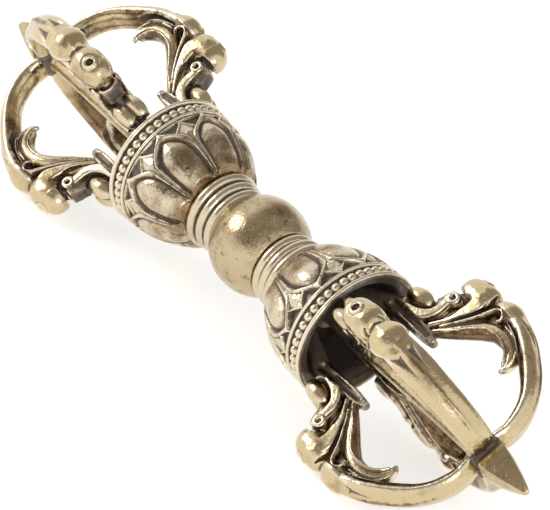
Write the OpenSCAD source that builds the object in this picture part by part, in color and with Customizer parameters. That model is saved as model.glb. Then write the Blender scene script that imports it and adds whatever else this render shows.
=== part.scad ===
// Dorje vajra: a ritual sceptre with a ball hub, two lotus cups and a cage of prongs at each end.
// The long axis lies along X, +Z is up and the origin is the centre of the hub.
// It lies on two prongs at each end, so the prongs stand at 45 degrees to the ground.

/* [Hub and core] */
// radius of the hub ball
hub_r = 6.1; // [5.4:0.1:7]
// distance from the centre to the flat that the first neck ring sits on
hub_flat = 4.1; // [3.8:0.1:4.6]
// radius of the rod that ties hub, rings and cups together
rod_r = 1.6; // [1.2:0.1:2]
// room between a pin and its hole, on the radius
fit = 0.04; // [0.02:0.01:0.08]

/* [Neck rings] */
// width of one ring along the axis
ring_w = 1.4; // [1.1:0.1:1.6]
// outer radius of the ring beside the hub
ring_inner_r = 4.6; // [4.2:0.1:5]
// outer radius of the middle ring
ring_middle_r = 4.8; // [4.4:0.1:5.2]
// outer radius of the ring beside the cup
ring_outer_r = 5.1; // [4.6:0.1:5.5]

/* [Lotus cup] */
// radius of the cup where it meets the neck
cup_base_r = 4.9; // [4.5:0.1:5.4]
// radius of the cup body under the beaded rim
cup_top_r = 8.1; // [7.9:0.05:8.4]
// length of the petal body
cup_body_h = 7.9; // [7.2:0.1:8.6]
// wall of the cup
cup_wall = 1.2; // [0.9:0.1:1.4]
// thickness of the cup floor
cup_floor = 1.6; // [1.2:0.1:2]
// number of main petals
petal_count = 8; // [6:1:10]
// height of a petal border above the cup body
petal_rise = 0.32; // [0.2:0.02:0.44]
// width of a petal border
petal_border = 0.5; // [0.35:0.05:0.7]
// width of the valley between two petals
petal_gap = 0.3; // [0.2:0.05:0.5]
// depth of the dark spandrels between the petal tips
spandrel_depth = 0.4; // [0.2:0.05:0.6]

/* [Beaded rim] */
// step from the cup body in to the seat that the rim slides on
rim_step = 0.6; // [0.5:0.05:0.8]
// length of that seat
rim_seat_h = 2.1; // [1.8:0.1:2.4]
// number of beads on one rim
bead_count = 44; // [36:1:46]
// radius of one bead
bead_r = 0.55; // [0.45:0.05:0.6]
// how far the plain lip at the mouth stands out from the cup body
lip_out = 0.55; // [0.4:0.05:0.7]
// thickness of the lip along the axis
lip_t = 0.65; // [0.5:0.05:0.8]

/* [Prong boss] */
// height of the boss on the cup floor
boss_h = 3.1; // [2.7:0.1:3.4]
// distance of a prong socket from the axis
socket_ring_r = 3.6; // [3.5:0.05:3.8]
// radius of a prong socket
socket_r = 0.85; // [0.7:0.05:0.95]
// depth of a prong socket
socket_depth = 2.2; // [1.6:0.1:2.4]

/* [Centre prong] */
// radius of the centre shaft
shaft_r = 1.35; // [1.1:0.05:1.6]
// distance from the hub centre to the tip of the finial
tip_x = 50; // [49:0.5:53]
// half width of the square block that the prong ends rest on
seat_half = 2; // [1.8:0.05:2.1]
// length of that block
seat_len = 2; // [1.8:0.05:2.3]
// half width of the finial over its flat sides
finial_half = 2.25; // [2.15:0.05:2.5]
// length of the finial
finial_len = 6.6; // [6.2:0.1:7]

/* [Outer prong] */
// largest radius of the prong cage
cage_r = 15.1; // [14.5:0.1:15.7]
// length from the boss face to the outside of the horn bend
prong_len = 30.7; // [30:0.1:31.5]
// half width of the hood
hood_half = 2.1; // [1.8:0.05:2.3]
// half width of the horn where it leaves the hood
horn_half = 2.4; // [2.1:0.05:2.7]
// half width of the horn at its tip
horn_tip_half = 1.9; // [1.6:0.05:2]
// height of the open mouth between hood and jaw
mouth_gap = 0.5; // [0.3:0.05:0.7]
// half depth of the prong body under the hood
prong_depth = 1.9; // [1.7:0.05:2.1]
// radius of the drilled hole in the hood
eye_hole_r = 0.45; // [0.3:0.05:0.55]
// half width of the inner leaf
leaf_half = 1.6; // [1.3:0.05:1.9]
// radius of the curl at the end of the S strip
curl_r = 0.85; // [0.7:0.05:1]

/* [Hidden] */
$fn = 64;
bore_r = rod_r + fit;
cup_x = hub_flat + 3 * ring_w;
floor_x = cup_x + cup_floor;
rim_x = cup_x + cup_body_h;
mouth_x = rim_x + rim_seat_h;
boss_x = floor_x + boss_h;
mouth_r = cup_top_r - cup_wall;
rim_seat_r = cup_top_r - rim_step;
lip_r = cup_top_r + lip_out;
rod_half = floor_x + boss_h / 2;
boss_r = cup_radius(cup_floor) - cup_wall - fit;
cup_steps = 12;
petal_angle = 360 / petal_count;
// the petal sides run straight up to this share of the body, then close to a point
petal_shoulder = 0.55;
finial_x = tip_x - finial_len;

// radius of the cup body at a distance from its base
function cup_radius(x) =
    cup_base_r + (cup_top_r - cup_base_r) * pow(1 - pow(1 - min(x / cup_body_h, 1), 1.5), 0.7);
// share of its full width that a petal has at a height
function petal_share(x, low, tip) = x <= low ? 1 : 1 - pow((x - low) / (tip - low), 1.5);

// one turned piece about the X axis from an outline of [radius, x]
module turned(outline) {
    rotate([0, 90, 0]) rotate_extrude() polygon(outline);
}

module ring(x, r) {
    translate([x, 0, 0])
        rotate([0, 90, 0])
            rotate_extrude() {
                translate([bore_r, 0])
                    square([r - ring_w / 2 - bore_r, ring_w]);
                translate([r - ring_w / 2, ring_w / 2])
                    circle(ring_w / 2);
            }
}

// outline points of the cup body, closer together near the base where it turns fast
function cup_curve(offset, first = 0) =
    [for (i = [first:cup_steps])
        let (x = cup_body_h * pow(i / cup_steps, 2))
        [cup_radius(x) + offset, cup_x + x]];
function backward(list) = [for (i = [len(list) - 1:-1:0]) list[i]];

// half width of a petal at a height, up to its shoulder
function petal_half(x, inset) = cup_radius(x) * sin(petal_angle / 2) - petal_gap / 2 - inset;
// a pointed petal outline stood on the axis, moved in from its edge by an inset
module petal_prism(inset, base) {
    low = cup_body_h * petal_shoulder;
    tip = cup_body_h - 0.15 - 2.2 * inset;
    steps = 6;
    side = concat(
        [for (i = [0:3]) let (x = base + (low - base) * i / 4) [x, petal_half(x, inset)]],
        [for (i = [0:steps - 1]) let (x = low + (tip - low) * i / steps)
            [x, petal_half(low, inset) * petal_share(x, low, tip)]]);
    translate([cup_x, 0, cup_base_r / 2])
        linear_extrude(cup_top_r)
            polygon(concat(side, [[tip, 0]], [for (p = backward(side)) [p[0], -p[1]]]));
}

// a skin that follows the cup body, with its inner face just under the surface
module petal_skin(thick) {
    turned(concat(cup_curve(thick, 1), backward(cup_curve(-0.15, 1))));
}

module petal() {
    intersection() {
        petal_skin(petal_rise);
        difference() {
            petal_prism(0, 0.25);
            petal_prism(petal_border, 0.9);
        }
    }
    intersection() {
        petal_skin(petal_rise * 0.55);
        petal_prism(petal_border + 0.22, 1.1);
    }
}

module spandrel() {
    top = cup_body_h - 0.2;
    difference() {
        translate([cup_x, 0, cup_base_r])
            linear_extrude(cup_top_r)
                polygon([[top - 1.2, 0], [top - 0.6, 0.6], [top, 0.9],
                    [top, -0.9], [top - 0.6, -0.6]]);
        turned([[0, cup_x], each cup_curve(-spandrel_depth), [0, rim_x]]);
    }
}

module cup_end() {
    difference() {
        turned(concat([[bore_r, cup_x]], cup_curve(0),
            [[rim_seat_r, rim_x], [rim_seat_r, mouth_x], [mouth_r, mouth_x]],
            [for (p = backward(cup_curve(-cup_wall))) if (p[1] > floor_x) p],
            [[boss_r + fit, floor_x], [bore_r, floor_x]]));
        for (i = [0:2 * petal_count - 1])
            rotate([(i + 0.5) * petal_angle / 2, 0, 0])
                spandrel();
    }
    for (i = [0:petal_count - 1])
        rotate([i * petal_angle, 0, 0])
            petal();
}

module rim_end() {
    band_r = cup_top_r - 0.1;
    line_w = 0.45;
    bead_x = rim_x + line_w + (rim_seat_h - line_w) / 2;
    turned([[rim_seat_r + fit, rim_x], [lip_r - 0.3, rim_x], [lip_r - 0.2, rim_x + line_w / 2],
        [lip_r - 0.3, rim_x + line_w], [band_r, rim_x + line_w + 0.05], [band_r, mouth_x - 0.05],
        [lip_r - 0.15, mouth_x], [lip_r, mouth_x + 0.15], [lip_r, mouth_x + lip_t - 0.2],
        [lip_r - 0.2, mouth_x + lip_t], [mouth_r, mouth_x + lip_t], [mouth_r, mouth_x + fit / 2],
        [rim_seat_r + fit, mouth_x + fit / 2]]);
    for (i = [0:bead_count - 1])
        rotate([(i + 0.5) * 360 / bead_count, 0, 0])
            translate([bead_x, 0, band_r + bead_r * 0.15])
                sphere(bead_r);
}

module boss_end() {
    difference() {
        translate([floor_x, 0, 0])
            rotate([0, 90, 0])
                cylinder(h = boss_h, r = boss_r);
        translate([floor_x - 1, 0, 0])
            rotate([0, 90, 0])
                cylinder(h = boss_h + 2, r = bore_r);
        for (a = [45:90:315])
            rotate([a, 0, 0])
                translate([boss_x - socket_depth, 0, socket_ring_r])
                    rotate([0, 90, 0])
                        cylinder(h = socket_depth + 1, r = socket_r);
    }
}

// flat outline of the finial, extruded twice and intersected to make four sides
module finial_slab() {
    // share of the finial's length and share of its half width
    shape = [[0, 1], [0.15, 0.92], [0.36, 0.76], [0.64, 0.5], [0.88, 0.25], [0.97, 0.14], [1, 0.06]];
    points = [for (p = shape) [finial_x + p[0] * finial_len, p[1] * finial_half]];
    translate([0, 0, -finial_half - 1])
        linear_extrude(2 * finial_half + 2)
            polygon(concat(points, [for (p = backward(points)) [p[0], -p[1]]]));
}

module centre_end() {
    collar_r = 2.2;
    pin_x = rod_half + fit;
    translate([pin_x, 0, 0])
        rotate([0, 90, 0])
            cylinder(h = boss_x - pin_x + 0.5, r = rod_r);
    translate([boss_x, 0, 0])
        rotate([0, 90, 0])
            cylinder(h = 1, r = collar_r);
    translate([boss_x + 0.5, 0, 0])
        rotate([0, 90, 0])
            cylinder(h = finial_x - seat_len - boss_x, r = shaft_r);
    rotate([45, 0, 0]) {
        translate([finial_x - seat_len, -seat_half, -seat_half])
            cube([seat_len + 0.2, 2 * seat_half, 2 * seat_half]);
        intersection() {
            finial_slab();
            rotate([90, 0, 0]) finial_slab();
        }
    }
}

// A prong is drawn upright: X along the axis, Z away from it. Each swept path lists
// [distance past the boss face, radius, half depth, half width].
prong_x = prong_len / 30.7;
prong_z = cage_r / 15.1;
prong_d = prong_depth / 1.9;
prong_w = leaf_half / 1.6;
function station(p) = [boss_x + p[0] * prong_x, p[1] * prong_z, p[2] * prong_d, p[3] * prong_w];
function stations(path) = [for (p = path) station(p)];
function heading(path, i) =
    let (a = path[max(i - 1, 0)], b = path[min(i + 1, len(path) - 1)], d = [b[0] - a[0], b[1] - a[1]])
    d / norm(d);
function sweep_points(path, section, side) =
    [for (i = [0:len(path) - 1])
        let (d = heading(path, i), p = path[i])
        for (q = section)
            [p[0] - d[1] * q[0] * p[2], side + q[1] * p[3], p[1] + d[0] * q[0] * p[2]]];
function sweep_faces(count, n) = concat(
    [[for (j = [n - 1:-1:0]) j]],
    [[for (j = [0:n - 1]) (count - 1) * n + j]],
    [for (i = [0:count - 2], j = [0:n - 1])
        [i * n + j, i * n + (j + 1) % n, (i + 1) * n + (j + 1) % n]],
    [for (i = [0:count - 2], j = [0:n - 1])
        [i * n + j, (i + 1) * n + (j + 1) % n, (i + 1) * n + j]]);
module sweep(path, section, side = 0) {
    polyhedron(sweep_points(path, section, side), sweep_faces(len(path), len(section)), convexity = 6);
}
function round_section(n) = [for (j = [0:n - 1]) [cos(j * 360 / n), sin(j * 360 / n)]];
// a ridge outside, sharp side edges and a narrow grooved inner face
horn_section = [[1, 0], [0.8, 0.5], [0.1, 1], [-0.55, 0.75], [-1, 0.5], [-0.7, 0],
    [-1, -0.5], [-0.55, -0.75], [0.1, -1], [0.8, -0.5]];
// two grooves along each side of the leaf
leaf_section = [[1, 0.3], [0.6, 0.95], [0.3, 0.75], [-0.1, 1], [-0.4, 0.75], [-0.75, 0.75], [-1, 0.3],
    [-1, -0.3], [-0.75, -0.75], [-0.4, -0.75], [-0.1, -1], [0.3, -0.75], [0.6, -0.95], [1, -0.3]];

body_path = stations([[0, 3.7, 0.95, 0.95], [1, 3.75, 1, 1], [3, 4.5, 1.1, 1.1], [5.3, 5.4, 1.15, 1.15],
    [7.2, 6.2, 1.3, 1.15], [9, 7.4, 1.5, 1.1], [10.6, 8.9, 1.7, 1], [12, 10.4, 1.8, 1],
    [13.2, 11.8, 1.7, 1.2]]);
foot_path = stations([[6.3, 5.4, 0.65, 0.85], [8.5, 5.35, 0.8, 1.05], [11.5, 5.3, 0.82, 1.2],
    [13.2, 5.35, 0.72, 1.1], [13.9, 5.4, 0.4, 0.8]]);
leaf_path = stations([[12.6, 6.3, 0.6, 1.05], [14, 7.5, 0.9, 1.3], [15.5, 9, 1.15, 1.5],
    [17, 10.35, 1.35, 1.65], [18.5, 11.05, 1.3, 1.65], [20, 11, 1.2, 1.5], [21.3, 10.55, 1.2, 1.35],
    [22.2, 9.75, 1.15, 1.2], [22.7, 8.9, 0.9, 0.95], [22.95, 8.25, 0.6, 0.7], [23, 7.95, 0.3, 0.45]]);
hood_path = stations([[10.4, 12.7, 0.7, 0], [10.8, 12.65, 1.4, 0], [11.7, 12.62, 1.95, 0],
    [13, 12.65, 2.1, 0], [14.4, 12.7, 2.1, 0], [15.5, 12.75, 1.75, 0], [16.2, 12.8, 1, 0]]);
// share of its full width that the hood has at each station
hood_share = [0.35, 0.7, 0.94, 1, 1, 0.85, 0.5];
function horn_width(i, last) = horn_half + (horn_tip_half - horn_half) * i / last;
// outer and inner edge of the horn, listed in pairs
horn_edges = [[16, 14.4, 16.2, 12], [17.2, 15, 17.4, 12.2], [18.6, 15.1, 18.6, 12.2],
    [20.2, 14.7, 19.8, 12], [21.8, 14.1, 21, 11.55], [23.4, 13.25, 22.4, 10.85], [25, 12.25, 23.8, 9.95],
    [26.8, 10.95, 25.2, 8.95], [28.3, 9.4, 26.6, 7.9], [29.5, 7.6, 27.7, 6.5], [30.3, 5.7, 28.3, 4.95],
    [30.6, 3.85, 28.6, 3.45]];
module horn() {
    last = len(horn_edges) - 1;
    n = len(horn_section);
    foot_a = finial_x - 0.1;
    foot_b = finial_x - seat_len + 0.1;
    rings = [for (i = [0:last + 1])
        let (e = horn_edges[min(i, last)],
            a = i > last ? [foot_a, seat_half + fit] : [boss_x + e[0] * prong_x, e[1] * prong_z],
            b = i > last ? [foot_b, seat_half + fit] : [boss_x + e[2] * prong_x, e[3] * prong_z],
            w = horn_width(i, last + 1))
        for (q = horn_section)
            let (c = (a + b) / 2 + (a - b) / 2 * q[0])
            [c[0], q[1] * w, c[1]]];
    polyhedron(rings, sweep_faces(last + 2, n), convexity = 6);
}

// one beaded link of a raised strip on a prong side
module link(path, side, r) {
    for (i = [0:len(path) - 2])
        hull() {
            translate([path[i][0], side, path[i][1]])
                sphere(r, $fn = 6);
            translate([path[i + 1][0], side, path[i + 1][1]])
                sphere(r, $fn = 6);
        }
}

strip_path = stations([[8.6, 6.1, 0, 0], [10.7, 6.85, 0, 0], [11.8, 8.6, 0, 0], [11.7, 10.1, 0, 0]]);
flange_path = stations([[12.2, 6.7, 0.5, 1.35], [13.3, 7.9, 0.7, 1.5], [14.2, 9.2, 0.8, 1.7],
    [14.8, 10.4, 0.85, 1.85], [15, 11.6, 0.85, 1.95], [14.8, 12.8, 0.75, 1.95]]);
curl = station([12.15, 10.4, 0, 0]);
lobe = station([8.3, 7.8, 0, 0]);
jaw = station([11, 10.65, 0, 0]);
bulb = station([17.8, 12.9, 2.3, 0]);
hood_top = 14.75 * prong_z;
eye_x = station([12.9, 0, 0, 0])[0];
// the mouth opens under the hood, from its front end to this distance past the boss face
mouth = station([12, 11.95, 0, 0]);

module head() {
    difference() {
        sweep([for (i = [0:len(hood_path) - 1])
                let (p = hood_path[i])
                [p[0], p[1], p[2], hood_half * hood_share[i]]],
            round_section(12));
        translate([boss_x, -2 * hood_half, hood_top / 2])
            cube([mouth[0] - boss_x, 4 * hood_half, mouth[1] - hood_top / 2]);
    }
    translate([jaw[0], 0, mouth[1] - mouth_gap - 0.85 * prong_d])
        scale([1.7 * prong_d, 1.45 * prong_w, 0.85 * prong_d])
            sphere(1, $fn = 14);
}

module prong() {
    color("goldenrod")
    difference() {
        union() {
            sweep(body_path, round_section(10));
            sweep(foot_path, round_section(8));
            sweep(leaf_path, leaf_section);
            sweep(flange_path, round_section(8));
            horn();
            head();
            translate([bulb[0], 0, bulb[1]])
                scale([bulb[2], horn_half - 0.05, cage_r - 0.1 - bulb[1]])
                    sphere(1, $fn = 16);
            for (s = [-1, 1]) {
                link(strip_path, s * 1.25 * prong_w, 0.5 * prong_w);
                translate([curl[0], s * 1.2 * prong_w, curl[1]])
                    rotate([90, 0, 0])
                        cylinder(h = 1.1 * prong_w, r = curl_r, center = true, $fn = 12);
                translate([lobe[0], s * 0.75 * prong_w, lobe[1]])
                    rotate([0, -20, 0])
                        scale([1.9 * prong_d, 0.95 * prong_w, 1.15 * prong_d])
                            sphere(1, $fn = 12);
            }
            translate([boss_x - socket_depth + 0.1, 0, socket_ring_r])
                rotate([0, 90, 0])
                    cylinder(h = socket_depth + 0.4, r = socket_r - fit, $fn = 16);
        }
        translate([eye_x, 0, hood_top - 0.7])
            cylinder(h = 2, r = eye_hole_r, $fn = 10);
        for (s = [-1, 1])
            translate([curl[0], s * 1.9 * prong_w, curl[1]])
                rotate([90, 0, 0])
                    cylinder(h = 0.8 * prong_w, r = curl_r * 0.41, center = true, $fn = 8);
    }
}

module right_end() { children(); }
module left_end() { rotate([0, 0, 180]) children(); }
module turn(angle) { rotate([angle, 0, 0]) children(); }

module core_rod() {
    color("peru")
        translate([-rod_half, 0, 0])
            rotate([0, 90, 0])
                cylinder(h = 2 * rod_half, r = rod_r);
}
module hub_sphere() {
    color("gold")
        difference() {
            intersection() {
                sphere(hub_r);
                cube([2 * hub_flat, 3 * hub_r, 3 * hub_r], center = true);
            }
            translate([-hub_r, 0, 0])
                rotate([0, 90, 0])
                    cylinder(h = 2 * hub_r, r = bore_r);
        }
}
module inner_ring() { color("gold") ring(hub_flat, ring_inner_r); }
module middle_ring() { color("gold") ring(hub_flat + ring_w, ring_middle_r); }
module outer_ring() { color("gold") ring(hub_flat + 2 * ring_w, ring_outer_r); }
module lotus_cup() { color("darkgoldenrod") cup_end(); }
module bead_rim() { color("gold") rim_end(); }
module prong_boss() { color("peru") boss_end(); }
module center_prong() { color("gold") centre_end(); }

core_rod();
hub_sphere();
left_end() inner_ring();  // left_inner_ring
left_end() middle_ring();  // left_middle_ring
left_end() outer_ring();  // left_outer_ring
right_end() inner_ring();  // right_inner_ring
right_end() middle_ring();  // right_middle_ring
right_end() outer_ring();  // right_outer_ring
left_end() lotus_cup();  // left_lotus_cup
right_end() lotus_cup();  // right_lotus_cup
left_end() bead_rim();  // left_bead_rim
right_end() bead_rim();  // right_bead_rim
left_end() prong_boss();  // left_prong_boss
right_end() prong_boss();  // right_prong_boss
left_end() center_prong();  // left_center_prong
right_end() center_prong();  // right_center_prong
left_end() turn(315) prong();  // left_prong_front_top
left_end() turn(225) prong();  // left_prong_front_bottom
left_end() turn(45) prong();  // left_prong_back_top
left_end() turn(135) prong();  // left_prong_back_bottom
right_end() turn(45) prong();  // right_prong_front_top
right_end() turn(135) prong();  // right_prong_front_bottom
right_end() turn(315) prong();  // right_prong_back_top
right_end() turn(225) prong();  // right_prong_back_bottom
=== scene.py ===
import math

import bpy
import numpy as np
from mathutils import Matrix, Vector


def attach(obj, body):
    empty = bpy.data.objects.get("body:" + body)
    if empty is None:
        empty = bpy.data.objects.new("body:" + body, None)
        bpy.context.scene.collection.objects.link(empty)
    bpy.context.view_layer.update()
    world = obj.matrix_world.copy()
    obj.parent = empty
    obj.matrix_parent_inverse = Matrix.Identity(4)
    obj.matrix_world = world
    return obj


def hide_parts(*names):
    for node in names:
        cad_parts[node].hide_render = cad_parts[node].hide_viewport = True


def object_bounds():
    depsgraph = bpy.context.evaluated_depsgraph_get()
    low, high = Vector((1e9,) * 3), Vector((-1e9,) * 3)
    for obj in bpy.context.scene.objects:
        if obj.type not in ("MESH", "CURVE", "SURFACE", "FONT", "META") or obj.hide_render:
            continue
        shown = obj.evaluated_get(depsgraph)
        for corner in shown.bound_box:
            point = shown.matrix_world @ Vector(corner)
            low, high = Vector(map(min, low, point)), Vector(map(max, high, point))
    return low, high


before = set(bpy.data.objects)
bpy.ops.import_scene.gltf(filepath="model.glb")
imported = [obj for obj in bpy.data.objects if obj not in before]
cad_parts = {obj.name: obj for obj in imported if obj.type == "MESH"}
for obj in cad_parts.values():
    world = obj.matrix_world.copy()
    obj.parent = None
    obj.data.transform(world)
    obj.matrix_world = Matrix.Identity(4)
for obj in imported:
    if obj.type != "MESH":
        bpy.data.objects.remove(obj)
cad_box = [list(corner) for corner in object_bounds()]

# Sizes are in millimetres in the frame of the part: x along the vajra from the hub centre, r outward from
# its long axis, and t sideways from the middle plane of a prong.
MM = 0.001
PRONG_CELL = 0.1
# Distance in empty space, room round a shape, and what keeps slopes off zero
FAR = 9.0
MARGIN = 0.6
NUDGE = 1e-4
TINY = 1e-8

# Hub, rings, cup and rim
HUB_R = 6.1
HUB_FLAT = 4.1
HUB_FLAT_R = 4.3
BORE_R = 1.64
RING_W = 1.4
RING_RADII = {"inner": 4.6, "middle": 4.8, "outer": 5.1}
CUP_X = 8.3
CUP_H = 7.9
CUP_BASE_R = 4.9
CUP_TOP_R = 8.1
CUP_WALL = 1.2
CUP_FLOOR_X = 9.9
CUP_FLOOR_R = 4.0
RIM_X = 16.2
RIM_SEAT_R = 7.5
MOUTH_X = 18.3
MOUTH_R = 6.9
PETALS = 8
BEADS = 44

# Sides and rows of the turned pieces
CUP_SIDES = 640
CUP_ROWS = 112
BOWL_ROWS = 14
TURN_SIDES = 192
HUB_ROWS = 97
RING_ROWS = 25
BEAD_SIDES = 20
BED_ROWS = 24
FINIAL_SIDES = 160


# Curves and distance fields

def spline(rows, steps=8):
    """A smooth curve through rows of numbers, with so many new rows to each old one."""
    rows = np.asarray(rows, float)
    ends = np.vstack([2 * rows[0] - rows[1], rows, 2 * rows[-1] - rows[-2]])
    out = []
    for i in range(len(rows) - 1):
        a, b, c, d = ends[i:i + 4]
        for k in range(steps):
            t = k / steps
            out.append(0.5 * (2 * b + (c - a) * t + (2 * a - 5 * b + 4 * c - d) * t ** 2
                              + (3 * b - a - 3 * c + d) * t ** 3))
    out.append(rows[-1])
    return np.array(out)


def along(curve, x, r):
    """Signed distance from a curve in the x, r plane, and the curve's sizes at the nearest place.
    Places to the left of its run have a positive distance."""
    best = np.full(x.shape, np.inf)
    side = np.ones(x.shape)
    sizes = np.zeros((curve.shape[1] - 2,) + x.shape)
    for p, q in zip(curve[:-1], curve[1:]):
        dx, dr = q[:2] - p[:2]
        share = np.clip(((x - p[0]) * dx + (r - p[1]) * dr) / (dx * dx + dr * dr), 0, 1)
        ex, er = x - p[0] - share * dx, r - p[1] - share * dr
        gap = ex * ex + er * er
        near = gap < best
        best[near] = gap[near]
        side[near] = np.where(dx * er - dr * ex < 0, -1, 1)[near]
        for size, a, b in zip(sizes, p[2:], q[2:]):
            size[near] = (a + (b - a) * share)[near]
    return np.sqrt(best) * side, sizes


def ellipse(d, t, deep, wide):
    """Distance to an ellipse with those half sizes, exact to first order at its edge."""
    d = d + NUDGE
    level = np.sqrt((d / deep) ** 2 + (t / wide) ** 2)
    slope = np.sqrt((d / deep ** 2) ** 2 + (t / wide ** 2) ** 2)
    return level * (level - 1) / slope


def smooth_min(a, b, blend):
    h = np.clip(0.5 + 0.5 * (b - a) / blend, 0, 1)
    return b + (a - b) * h - blend * h * (1 - h)


def step(low, high, value):
    """Rises smoothly from 0 at low to 1 at high."""
    t = np.clip((value - low) / (high - low), 0, 1)
    return t * t * (3 - 2 * t)


def window(edges, value):
    """Rises smoothly from 0 at the first edge to 1 at the second and, with four edges, falls to 0 again."""
    share = step(*edges[:2], value)
    return share if len(edges) == 2 else share * step(*edges[:1:-1], value)


def masked(at, limits):
    """The product of windows on several measures."""
    return math.prod(window(edges, at[key]) for key, edges in limits.items())


def bell(value, middle, width):
    """1 in the middle, fading out on both sides."""
    return np.exp(-((value - middle) / width) ** 2)


# Reach of a groove in widths, and its soft start about its inner t
GROOVE_REACH = 3
GROOVE_FADE = (-0.25, 0.05)


class Field:
    """Distances sampled on a grid of x, r and t.
    Only the half with t above 0 is kept, because a prong is the same on both sides."""

    def __init__(self, low, high, cell):
        self.cell = cell
        count = [int((b - a) / cell) + 1 for a, b in zip(low, high)]
        self.low = np.array([low[0], low[1], cell / 2])
        self.axes = [a + cell * np.arange(n) for a, n in zip(self.low, count)]
        self.value = np.full(count, FAR, np.float32)

    def block(self, low, high):
        cut = tuple(slice(max(np.searchsorted(axis, a) - 1, 0), np.searchsorted(axis, b) + 1)
                    for axis, a, b in zip(self.axes, low, high))
        x, r, t = (axis[c] for axis, c in zip(self.axes, cut))
        return cut, x[:, None, None], r[None, :, None], t[None, None, :]

    def meet(self, shape):
        """The block round a shape, and its distances there."""
        low, high, distance = shape
        cut, x, r, t = self.block(np.array(low) - MARGIN, np.array(high) + MARGIN)
        return cut, distance(x, r, t)

    def add(self, shape, blend):
        cut, distance = self.meet(shape)
        self.value[cut] = smooth_min(self.value[cut], distance, blend)

    def carve(self, shape, blend):
        cut, distance = self.meet(shape)
        self.value[cut] = -smooth_min(-self.value[cut], distance, blend)

    def engrave(self, rows, width, depth, inner):
        """A groove along a curve on the flank, beyond t = inner."""
        curve = spline(rows)
        start, end = inner + GROOVE_FADE[0], inner + GROOVE_FADE[1]
        low = np.append(curve[:, :2].min(0) - GROOVE_REACH * width, start)
        high = np.append(curve[:, :2].max(0) + GROOVE_REACH * width, FAR)
        cut, x, r, t = self.block(low, high)
        d, _ = along(curve, *np.broadcast_arrays(x[:, :, 0], r[:, :, 0]))
        self.value[cut] += depth * bell(d, 0, width)[:, :, None] * step(start, end, t)

    def full(self):
        return np.concatenate([self.value[:, :, ::-1], self.value], axis=2)

    def corner(self):
        return self.low - [0, 0, self.cell * self.value.shape[2]]


def tube(rows, side=0.0, square=0.0):
    """A bar swept along rows of x, r, half depth and half width, with an oval or squarish section."""
    curve = spline(rows)
    deep, wide = curve[:, 2].max(), curve[:, 3].max()
    low = (curve[:, 0].min() - deep, curve[:, 1].min() - deep, side - wide)
    high = (curve[:, 0].max() + deep, curve[:, 1].max() + deep, side + wide)

    def distance(x, r, t):
        d, (a, b) = along(curve, *np.broadcast_arrays(x[:, :, 0], r[:, :, 0]))
        d, a, b = d[:, :, None], a[:, :, None], b[:, :, None]
        if not square:
            return ellipse(d, t - side, a, b)
        u, v = np.abs(d) - a + square, np.abs(t - side) - b + square
        outside = np.sqrt(np.maximum(u, 0) ** 2 + np.maximum(v, 0) ** 2)
        return outside + np.minimum(np.maximum(u, v), 0) - square

    return low, high, distance


def box(centre, reach, inner, outer):
    """Two corners of a box round a centre in the x, r plane, between two places along t."""
    return (centre[0] - reach, centre[1] - reach, inner), (centre[0] + reach, centre[1] + reach, outer)


def off_circle(centre, radius, x, r):
    """Distance outside a circle in the x, r plane."""
    return np.sqrt((x - centre[0]) ** 2 + (r - centre[1]) ** 2) - radius


def ball(centre, radii, turn=0.0, side=0.0):
    """An ellipsoid with radii along, across and sideways, turned in the x, r plane by degrees."""
    c, s = math.cos(math.radians(turn)), math.sin(math.radians(turn))

    def distance(x, r, t):
        x, r, t = x - centre[0], r - centre[1], t - side
        p = [x * c + r * s, r * c - x * s, t]
        level = np.sqrt(sum((v / k) ** 2 for v, k in zip(p, radii)) + TINY)
        slope = np.sqrt(sum((v / k ** 2) ** 2 for v, k in zip(p, radii)) + TINY)
        return level * (level - 1) / slope

    return *box(centre, max(radii[:2]), side - radii[2], side + radii[2]), distance


def hoop(centre, radius, thick, side):
    """A ring standing in the x, r plane, off the middle plane."""
    def distance(x, r, t):
        return np.sqrt(off_circle(centre, radius, x, r) ** 2 + (t - side) ** 2) - thick

    return *box(centre, radius + thick, side - thick, side + thick), distance


def pin(centre, radius, inner, outer):
    """A round bar along t, between two distances from the middle plane."""
    def distance(x, r, t):
        ends = np.abs(t - (inner + outer) / 2) - (outer - inner) / 2
        return np.maximum(off_circle(centre, radius, x, r), ends)

    return *box(centre, radius, inner, outer), distance


# From a field to a mesh

CELL_CORNERS = list(np.ndindex(2, 2, 2))


def sample(values, places):
    """The field between its nodes, at places counted in nodes."""
    base = np.clip(np.floor(places).astype(int), 0, np.array(values.shape) - 2)
    share = np.clip(places - base, 0, 1)
    total = np.zeros(len(places))
    for corner in CELL_CORNERS:
        weight = np.where(corner, share, 1 - share).prod(axis=1)
        total += weight * values[tuple((base + corner).T)]
    return total


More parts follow.
